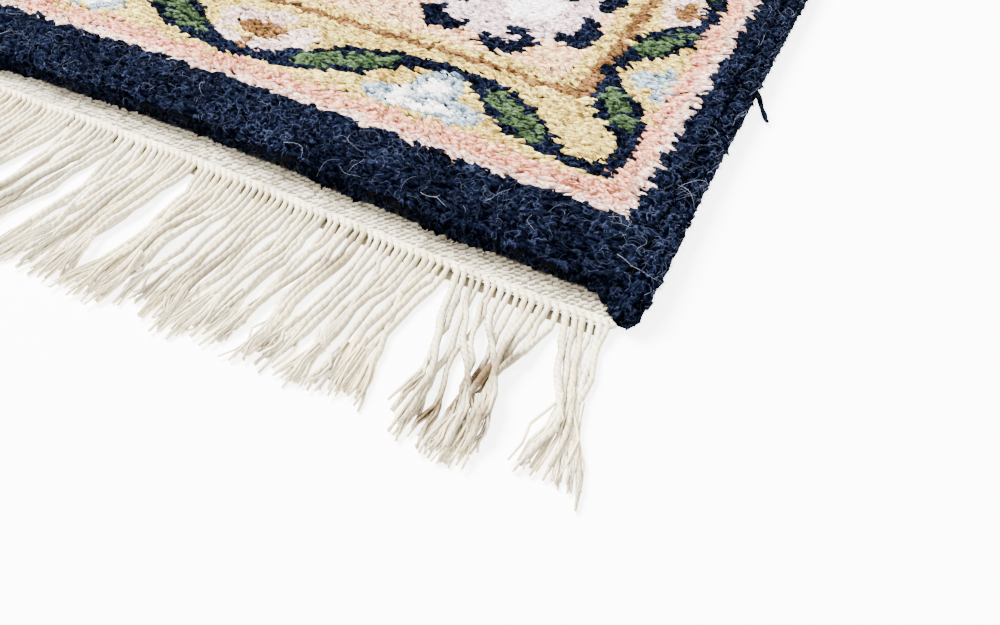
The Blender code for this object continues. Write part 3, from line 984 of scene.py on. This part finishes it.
# Strings lean over their neighbours as they leave the ridge, settle on the floor, gather into their lock and
# part again into plies. A string's way off its lock's middle is its root's, times 1, then gather, then the
# tips' spread.
def hangFringe(end, label, seed):
    rng = np.random.default_rng(seed)
    roots, (middles, drifts, gathers, opens, lengths, bows) = planLocks(end < 0, rng)
    count, steps = len(roots), fringeLook["steps"]
    lengths = lengths + np.clip(rng.normal(0, 2.2 * mm, count), -4 * mm, 3 * mm)
    own = np.arange(count)
    strays = (rng.random(count) < fringeLook["strayShare"]) & (own > fringeLook["strayFrom"])
    stray = np.where(strays, rng.normal(0, fringeLook["stray"], count), rng.normal(0, 1.0 * mm, count))
    sway = rng.normal(0, 0.75 * mm, (count, 1))
    ripple, ripplePhase = rng.normal(0, 0.6 * mm, (count, 1)), rng.uniform(0, 6, (count, 1))
    layer = rng.choice([0.0, 0.0, 1.0, 2.0], (count, 1)) * (1 - 0.7 * (gathers[:, None] > 0.75))
    for which, far in fringeLook["across"] if end < 0 else ():
        stray[which], layer[which] = far * mm, 2.2

    # Where the strings are at a share of their length
    def runAt(share):
        along = share * lengths[:, None]
        width = 1 + (gathers[:, None] - 1) * smoothRise(share, 0.0, 0.72)
        width = width + (opens - gathers)[:, None] * smoothRise(share, 0.66, 1.02)
        x = middles[:, None] + drifts[:, None] * smoothRise(share, -0.1, 0.95)
        x = x + (roots - middles)[:, None] * width
        x = x + stray[:, None] * smoothRise(share, 0.15, 1.0) + sway * np.sin(np.pi * share)
        x = x + bows[:, None] * np.sin(np.pi * share)
        x = x + ripple * np.sin(4 * np.pi * share + ripplePhase) * smoothRise(share, 0, 0.2)
        x = x - fringeLook["loop"] * (1 - smoothRise(along, 0, 2.6 * mm))
        x = np.minimum(x, rugPlan["halfRug"] + 9 * mm)
        y = ridgeBack(roots)[:, None] + rugPlan["ridgeWidth"] * 0.45 + along
        z = fringeLook["radius"] + 1.25 * mm * (1 - smoothRise(along, 1.5 * mm, 9 * mm))
        z = z + layer * 1.25 * mm * smoothRise(share, 0.1, 0.55) * (1 - smoothRise(share, 0.8, 1.05))
        return np.stack([x, end * y, z], -1)

    share = np.linspace(0, 1, steps)[None, :] ** 1.25 * 0.94
    paths = runAt(np.repeat(share, count, 0))
    paths[..., 0] += rng.normal(0, 0.28 * mm, (count, steps)) * smoothRise(share, 0.03, 0.15)
    uneven = 1 + rng.normal(0, 0.08, (count, 1)) + rng.normal(0, 0.09, (count, steps))
    radius = fringeLook["radius"] * uneven
    radius *= 1 - 0.45 * smoothRise(share, 0.72, 0.94)
    paths[..., 2] = np.maximum(paths[..., 2], radius)
    tones = np.clip(rng.normal(0.5, 0.3, count), 0, 1)
    strings = tubePiece(f"fringe_strings_{label}", paths, radius, cottons["string"],
                        sides=5, tones=tones, extra={"stain": stainAt(paths[..., 0], paths[..., 1])})
    # Every string opens into plies over its last part, each waving its own way, enough to fill its place
    each, plySteps = fringeLook["plies"], fringeLook["plySteps"]
    many = count * each
    go = np.linspace(0, 1, plySteps)[None, :]
    begin = np.repeat(fringeLook["frays"] - 0.20 * smoothRise(opens, 1.0, 1.4), each)[:, None]
    begin = begin + rng.uniform(-0.06, 0.06, (many, 1))
    share = (begin + go * (rng.uniform(0.95, 1.03, (many, 1)) - begin)).reshape(count, each, plySteps)
    plies = np.stack([runAt(share[:, ply]) for ply in range(each)], 1).reshape(many, plySteps, 3)
    room = np.repeat(fringeLook["pitch"] * np.clip(opens, 0.55, 1.6), each)[:, None]
    apart = rng.normal(0, 0.50, (many, 1)) * room * smoothRise(go, -0.2, 0.9)
    wave = rng.normal(0, 0.55 * mm, (many, 1)) * np.sin(2 * np.pi * go * 1.2 + rng.uniform(0, 6, (many, 1)))
    plies[..., 0] += apart + wave + rng.uniform(-0.6, 0.6, (many, 1)) * mm
    thin = rng.uniform(0.44, 0.74, (many, 1)) * mm * (1 - 0.40 * go ** 4)
    plies[..., 2] = plies[..., 2] * (1 - 0.4 * go) + rng.uniform(-0.4, 0.8, (many, 1)) * mm
    plies[..., 2] = np.maximum(plies[..., 2], thin)
    plyTones = np.clip(np.repeat(tones, each) + rng.normal(0, 0.25, many), 0, 1)
    frayed = tubePiece(f"fringe_plies_{label}", plies, thin, cottons["frayed"], sides=3,
                       tones=plyTones, extra={"stain": stainAt(plies[..., 0], plies[..., 1])})
    # The ridge: two strands wound round each other along the rug, one turn to every two strings
    turns = 2 * rugPlan["ridgeHalfX"] / (2 * fringeLook["pitch"])
    run = np.linspace(-1, 1, int(turns * 7))
    line = run * rugPlan["ridgeHalfX"]
    spin = np.pi * turns * run
    middle = ridgeBack(line) + rugPlan["ridgeWidth"] * 0.42
    strandRadius, outSwing, upSwing = fringeLook["strand"]
    both = []
    for half in (0.0, np.pi):
        out = end * (middle + outSwing * np.cos(spin + half))
        up = fringeLook["ridgeHeight"] + upSwing * np.sin(spin + half) * -end
        both.append(np.stack([line, out, up], -1))
    both = np.stack(both)
    thickness = np.full(both.shape[:2], strandRadius)
    ridge = tubePiece(f"fringe_ridge_{label}", both, thickness, cottons["string"], sides=5,
                      tones=np.array([0.7, 0.9]), extra={"stain": stainAt(both[..., 0], both[..., 1])})
    # A flat dark cord runs low under the roots: painted shadow that shows as the dark gaps between them
    thick, flatness, beyond, high = fringeLook["underCord"]
    line, middle = line[::6], middle[::6]
    low = np.stack([line, end * (middle + beyond), np.full_like(line, high)], -1)
    under = tubePiece(f"fringe_under_{label}", low[None], np.full((1, len(line)), thick), cottons["shaded"],
                      sides=6, flatten=flatness, tones=np.array([0.5]))
    for piece in (strings, frayed, ridge, under):
        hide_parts(f"fringe_{label}")
    return strings, frayed, ridge, under


fringes = {
    label: hangFringe(end, label, seed) for end, label, seed in ((-1, "south", 31), (1, "north", 32))
}
print("fringe hung:", len(fringes))


# The long sides

selvedgeLook = {
    "rings": 260,
    "width": 7.7 * mm,
    "height": 9.0 * mm,
    "overrun": 8.0 * mm,
    "taper": 10 * mm,
    "rows": 400,
    "around": 7,
    "lobe": (4.6, 3.0, 0.7),    # length, width and height, in millimetres
    "sunk": 0.3 * mm,
    # the cord's section: share of the width outwards, share of the height
    "section": (
        (0.00, 0.05), (0.30, 0.00), (0.75, 0.02), (0.97, 0.22), (1.00, 0.50),
        (0.93, 0.78), (0.70, 0.96), (0.38, 1.00), (0.10, 0.92), (0.00, 0.55),
    ),
}


# The section's points at each y: width and height fall off over the last centimetre, as a quarter circle
def selvedgeRings(side, y, shrink):
    look = selvedgeLook
    half = rugPlan["pileHalfY"] + look["overrun"]
    fromEnd = np.clip((half - np.abs(y)) / look["taper"], 0, 1)
    full = np.sqrt(1 - (1 - fromEnd) ** 2)
    section = np.array(look["section"])
    shaped = section.mean(0) + (section - section.mean(0)) * shrink
    width = look["width"] * (0.72 + 0.28 * full)
    height = look["height"] * (0.42 + 0.58 * full)
    inner = rugPlan["panelHalfX"] + 0.3 * mm + sideWave(y)
    x = side * (inner[:, None] + shaped[None, :, 0] * width[:, None])
    z = np.maximum(shaped[None, :, 1] * height[:, None], 0)
    return np.stack([x, np.broadcast_to(y[:, None], x.shape), z], -1)


# A cord with its section carried along the side, and lobes of wool laid over it row by row
def coverSelvedge(side, label, seed):
    rng = np.random.default_rng(seed)
    half = rugPlan["pileHalfY"] + selvedgeLook["overrun"]
    rings = selvedgeRings(side, np.linspace(-half, half, selvedgeLook["rings"]), 0.86)
    rings = rings[:, ::-1] if side > 0 else rings
    # The cord has no tip number, so its wool is almost all in the deep tone: painted shade under the lobes
    cord = loftPiece(f"selvedge_{label}_cord", rings, wools["navy"])
    rows = np.linspace(-half + 0.8 * mm, half - 0.8 * mm, selvedgeLook["rows"])
    surface = selvedgeRings(side, rows, 1.0)
    count = selvedgeLook["rows"] * selvedgeLook["around"]
    # The lobes sit between the outer foot of the section and its inner top
    share = np.tile(np.linspace(2.6, 8.4, selvedgeLook["around"]), selvedgeLook["rows"])
    share = share + rng.normal(0, 0.12, count)
    row = np.repeat(np.arange(selvedgeLook["rows"]), selvedgeLook["around"])
    low = np.floor(share).astype(int)
    mix = (share - low)[:, None]
    ringPoints = surface.shape[1]
    before, behind = surface[row, low % ringPoints], surface[row, (low + 1) % ringPoints]
    centres = before * (1 - mix) + behind * mix
    middle = surface[row][:, [0, 4]].mean(1)
    middle[:, 2] *= 0.8
    outward = unit((centres - middle) * [1, 0, 1] + rng.normal(0, 0.3 * mm, (count, 3)))
    outward[:, 1] += np.sign(centres[:, 1]) * (np.abs(centres[:, 1]) > half - 3 * mm) * 0.8
    outward = unit(outward)
    centres = centres - outward * selvedgeLook["sunk"] + rng.normal(0, 0.09, (count, 3)) * mm
    centres[:, 2] = np.maximum(centres[:, 2], 1.4 * mm)
    lie = [rng.normal(0, 0.28, count), rng.choice([-1.0, 1.0], count), rng.normal(0, 0.28, count)]
    lie = np.stack(lie, -1)
    sizes = np.array(selvedgeLook["lobe"]) * mm * rng.normal(1, 0.10, (count, 3))
    tones = np.clip(rng.normal(0.4, 0.22, count), 0, 1)
    wool = lobePiece(f"selvedge_{label}_wool", centres, lie, outward, sizes, tones, rng, wools["navy"],
                     lean=0.06, rough=0.05)
    for piece in (cord, wool):
        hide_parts(f"selvedge_{label}")
    return cord, wool


for side, label, seed in ((1, "east", 41), (-1, "west", 42)):
    coverSelvedge(side, label, seed)
print("sides covered")


looseLook = {
    # the end's way over the side and down, in millimetres
    "line": (
        (295.6, -332.6, 8.6), (298.4, -335.4, 8.0), (301.4, -338.0, 5.9),
        (304.0, -340.8, 3.4), (305.8, -342.6, 2.0), (307.0, -343.9, 1.5),
    ),
    "steps": 19,
    "turn": 1.9,               # radians from one of those places to the next
    "apart": 0.38 * mm,
    "radius": 0.78 * mm,
}


# A loose end of yarn that has worked out of one side: two strands wound round one short line
def looseYarn():
    line = np.array(looseLook["line"]) * mm
    fine = np.linspace(0, len(line) - 1, looseLook["steps"])
    middle = np.stack([np.interp(fine, np.arange(len(line)), line[:, k]) for k in range(3)], -1)
    turn = fine * looseLook["turn"]
    off = np.stack([np.cos(turn), -np.cos(turn), np.sin(turn) * 1.2], -1) * looseLook["apart"]
    paths = np.stack([middle + off, middle - off])
    paths[..., 2] = np.maximum(paths[..., 2], 0.8 * mm)
    radii = np.full(paths.shape[:2], looseLook["radius"]) * (1 - 0.3 * np.linspace(0, 1, len(fine)) ** 6)
    return tubePiece("loose_yarn", paths, radii, wools["navy"], sides=6,
                     tones=np.array([0.3, 0.5]), extra={"tip": np.ones(paths.shape[:2])})


looseEnd = looseYarn()


# Stray hairs

hairLook = {
    "longHairs": 760,
    "shortHairs": 2800,
    "fieldHairs": 420,
    "edgeHairs": 1700,     # out from each long side
    "radius": 0.046 * mm,
    "edgeRadius": 0.055 * mm,
    "edgeLength": (1.0, 3.2),    # shortest and longest, in millimetres
    # how far out hairs start, in metres: along an end and across it, then along a side and across it
    "endReach": (0.297, 0.4485),
    "sideReach": (0.447, 0.300),
    "fieldReach": (0.283, 0.424),
    "edgeReach": 0.453,
    "tones": ((30, 34, 48), (132, 138, 152)),
    "dimTones": ((14, 17, 30), (88, 96, 118)),
    "fieldTones": ((150, 130, 116), (240, 228, 216)),
}


# One fibre's own tone, between two, with slow changes along it
def hairMaterial(name, dark, light):
    material, tree, shader = startMaterial(name)
    cloud = spread(tree, grainNoise(tree, (300.0, 300.0, 300.0)), 0.3, 0.7, (0.4, 1.3))
    share = math2(tree, "MULTIPLY", ownValue(tree, "tone"), cloud, clamp=True)
    tree.links.new(mixColour(tree, share, dark, light), shader.inputs["Base Color"])
    matte(shader, 0.8, 0.1)
    return material


# Hairs start on the wool, rise a little and bend: the heading turns evenly along each, with one slow swing
# besides
def strewHairs(name, x, y, z, length, steps, material, rng, radius):
    count = len(x)
    share = np.linspace(0, 1, steps)[None, :]
    bend = rng.normal(0, 1, (count, 1)) * np.minimum(length[:, None] / (6 * mm), 1.3)
    swing = rng.normal(0, 0.5, (count, 1)) * np.sin(2 * np.pi * share + rng.uniform(0, 6, (count, 1)))
    heading = rng.uniform(0, 2 * np.pi, (count, 1)) + bend * share + swing
    step = (length / (steps - 1))[:, None]
    alongX = np.cumsum(np.cos(heading) * step, 1)
    alongY = np.cumsum(np.sin(heading) * step, 1)
    lift = 1.0 * mm * np.sin(np.pi * share) * rng.uniform(0.3, 1.4, (count, 1))
    paths = np.stack([x[:, None] + alongX, y[:, None] + alongY, z[:, None] + lift], -1)
    radii = np.full((count, steps), radius) * (1 - 0.4 * share)
    return tubePiece(name, paths, radii, material, sides=3, tones=rng.uniform(0, 1, count))


def growHairs():
    rng = np.random.default_rng(51)
    hairWool = hairMaterial("wool_hair", *[dye(*tone) for tone in hairLook["tones"]])
    dimWool = hairMaterial("wool_hair_dim", *[dye(*tone) for tone in hairLook["dimTones"]])
    (endX, endY), (sideY, sideX) = hairLook["endReach"], hairLook["sideReach"]
    fieldX, fieldY = hairLook["fieldReach"]
    made = []
    for name, count, low, high, steps, radius, wool in (
        ("hairs_short", hairLook["shortHairs"], 1.6, 5.0, 4, hairLook["radius"] * 0.9, dimWool),
        ("hairs_long", hairLook["longHairs"], 3.0, 12.0, 7, hairLook["radius"], hairWool),
    ):
        atEnd = rng.random(count) < 0.45
        sideways, lengthways = rng.uniform(-1, 1, (2, count))
        edge = rng.choice([-1, 1], count)
        x = np.where(atEnd, sideways * endX, edge * (sideX - rng.uniform(0.001, 0.016, count)))
        y = np.where(atEnd, edge * (endY - rng.uniform(0.0, 0.024, count)), lengthways * sideY)
        z = rugPlan["pileTop"] - 0.3 * mm - pileDrop(x, y)
        made.append(strewHairs(name, x, y, z, rng.uniform(low, high, count) * mm, steps, wool, rng, radius))
    count = hairLook["fieldHairs"]
    x, y = rng.uniform(-fieldX, fieldX, count), rng.uniform(-fieldY, fieldY, count)
    fieldWool = hairMaterial("wool_hair_field", *[dye(*tone) for tone in hairLook["fieldTones"]])
    made.append(strewHairs("hairs_field", x, y, rugPlan["pileTop"] - 0.3 * mm - pileDrop(x, y),
                           rng.uniform(3, 8, count) * mm, 5, fieldWool, rng, hairLook["radius"]))
    # Fuzz on the long sides: straight out from the cord's rim, then bent along it
    count = 2 * hairLook["edgeHairs"]
    side = np.repeat([-1.0, 1.0], hairLook["edgeHairs"])[:, None]
    y = rng.uniform(-hairLook["edgeReach"], hairLook["edgeReach"], (count, 1))
    around = rng.uniform(-0.7, 1.0, (count, 1))
    go = np.linspace(0, 1, 3)[None, :]
    long = rng.uniform(*hairLook["edgeLength"], (count, 1)) * mm
    rim = rugPlan["panelHalfX"] + sideWave(y) + 3.6 * mm + 4.0 * mm * np.cos(around)
    x = side * (rim + long * 0.75 * go * np.cos(around))
    z = np.maximum(4.4 * mm + 4.2 * mm * np.sin(around) + long * 0.7 * go * np.sin(around + 0.2), 0.3 * mm)
    paths = np.stack([x, y + long * rng.normal(0, 0.7, (count, 1)) * go ** 1.5, z], -1)
    radii = np.full((count, 3), hairLook["edgeRadius"])
    made.append(tubePiece("hairs_edge", paths, radii, dimWool, sides=3,
                          tones=rng.uniform(0, 1, count)))
    return made


hairs = growHairs()
print("hairs strewn")


# The floor, the light and the camera

stageLook = {
    "floor": dye(252, 252, 252),
    "floorGlow": 4.4,
    "world": 2.3,
    "key": 730.0,
    "fill": 20.0,
}


def layFloor():
    mesh = bpy.data.meshes.new("floor")
    reach = 6.0
    corners = [(-reach, -reach, 0.0), (reach, -reach, 0.0), (reach, reach, 0.0), (-reach, reach, 0.0)]
    mesh.from_pydata(corners, [], [(0, 1, 2, 3)])
    floor = bpy.data.objects.new("floor", mesh)
    bpy.context.scene.collection.objects.link(floor)
    material, _, shader = startMaterial("floor_paper")
    shader.inputs["Base Color"].default_value = stageLook["floor"]
    shader.inputs["Roughness"].default_value = 0.9
    shader.inputs["Emission Color"].default_value = (1.0, 1.0, 1.0, 1.0)
    shader.inputs["Emission Strength"].default_value = stageLook["floorGlow"]
    mesh.materials.append(material)
    return floor


def softLight(name, place, aim, size, power, colour=(1.0, 1.0, 1.0)):
    lamp = bpy.data.lights.new(name, "AREA")
    lamp.shape = "DISK"
    lamp.size = size
    lamp.energy = power
    lamp.color = colour
    made = bpy.data.objects.new(name, lamp)
    made.location = place
    toward = np.array(aim) - np.array(place)
    yaw = math.atan2(toward[1], toward[0]) - math.pi / 2
    tilt = math.atan2(math.hypot(toward[0], toward[1]), -toward[2])
    made.rotation_euler = (tilt, 0.0, yaw)
    bpy.context.scene.collection.objects.link(made)


def setLight():
    world = bpy.data.worlds.new("studio")
    world.use_nodes = True
    background = world.node_tree.nodes["Background"]
    background.inputs["Color"].default_value = (0.96, 0.98, 1.0, 1.0)
    background.inputs["Strength"].default_value = stageLook["world"]
    bpy.context.scene.world = world
    softLight("key", (-1.7, 0.5, 1.8), (0.1, -0.3, 0.0), 1.3, stageLook["key"])
    softLight("fill", (1.2, -1.4, 1.6), (0.1, -0.3, 0.0), 1.6, stageLook["fill"])


cameraLook = {
    "place": (0.32377, -0.59707, 0.15903),
    "turn": -24.899,
    "down": 48.271,
    "roll": 2.530,
    "pixels": 778.0,
}


# The camera's axes: forward from its turn and dip, then its side and top axes rolled about it
def setCamera():
    look = cameraLook
    turn, down, roll = (math.radians(look[key]) for key in ("turn", "down", "roll"))
    forward = np.array([math.sin(turn) * math.cos(down), math.cos(turn) * math.cos(down), -math.sin(down)])
    right = np.array([math.cos(turn), -math.sin(turn), 0.0])
    up = np.cross(right, forward)
    sideAxis = right * math.cos(roll) + up * math.sin(roll)
    topAxis = up * math.cos(roll) - right * math.sin(roll)
    lens = bpy.data.cameras.new("camera")
    lens.sensor_width = 36.0
    lens.lens = 36.0 * look["pixels"] / 1000
    lens.clip_start = 0.01
    camera = bpy.data.objects.new("camera", lens)
    matrix = Matrix.Identity(4)
    for row in range(3):
        matrix[row][0], matrix[row][1], matrix[row][2] = sideAxis[row], topAxis[row], -forward[row]
        matrix[row][3] = look["place"][row]
    camera.matrix_world = matrix
    bpy.context.scene.collection.objects.link(camera)
    bpy.context.scene.camera = camera


floor = layFloor()
setLight()
setCamera()

faces = [sum(len(face.vertices) - 2 for face in piece.data.polygons)
         for piece in bpy.data.objects if piece.type == "MESH"]
print("triangles:", sum(faces), "most in one piece:", max(faces))
